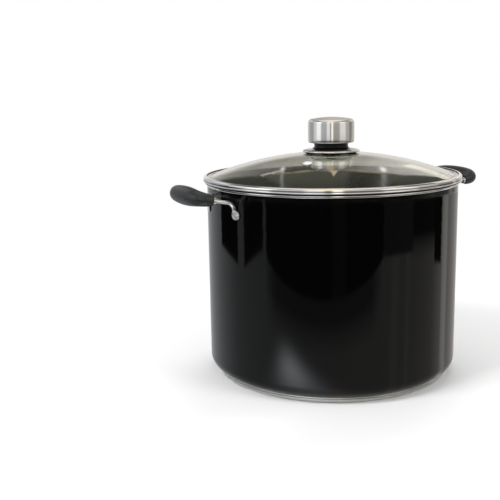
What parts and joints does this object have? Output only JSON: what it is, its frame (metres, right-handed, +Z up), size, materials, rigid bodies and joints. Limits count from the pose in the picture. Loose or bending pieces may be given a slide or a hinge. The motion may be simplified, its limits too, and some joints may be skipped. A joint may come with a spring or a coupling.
{
  "type": "canner",
  "caption": "Tall black-coated steel canning pot with a loose domed glass lid, steel knob, wire loop handles with moulded grips and a wire jar rack inside.",
  "frame": {"origin": "centre of the base, on the surface that the pot stands on", "axes": "+Z up along the pot's axis, +X through the right handle, +Y towards the back"},
  "size_m": [0.4146, 0.3198, 0.3167],
  "materials": {
    "black_coat": "black gloss coat on the outside of a steel pot, with a bare rim and inside",
    "steel_bright": "polished stainless steel",
    "steel_base": "satin stainless steel",
    "core": "plain rolled disc",
    "grip": "dark grey heat-proof moulding, satin",
    "glass": "clear tempered glass",
    "knob_black": "black phenolic moulding",
    "seal": "black silicone",
    "insert": "turned brass",
    "rack_wire": "bright plated wire"
  },
  "bodies": {
    "pot": {"pot_shell": "black_coat", "base_core": "core", "base_cap": "steel_base", "handle_rod_left": "steel_bright", "handle_rod_right": "steel_bright", "handle_grip_left": "grip", "handle_grip_right": "grip", "grip_ferrules_left": "steel_bright", "grip_ferrules_right": "steel_bright"},
    "lid": {"lid_glass": "glass", "lid_band": "steel_bright", "vent_eyelet": "steel_bright", "knob_gasket_upper": "seal", "knob_flange": "steel_bright", "knob_cap": "steel_bright", "knob_body": "knob_black", "knob_insert": "insert", "knob_gasket_lower": "seal", "knob_washer": "steel_bright", "knob_screw": "steel_bright"},
    "rack": {"rack_rim": "rack_wire", "rack_deck": "rack_wire", "rack_stays": "rack_wire", "rack_legs": "rack_wire"}
  },
  "joints": [
    {"name": "lid_lift", "type": "slide", "parent": "pot", "child": "lid", "axis": [0, 0, 1], "range_m": [0, 0.3]},
    {"name": "rack_lift", "type": "slide", "parent": "pot", "child": "rack", "axis": [0, 0, 1], "range_m": [0, 0.2]}
  ]
}
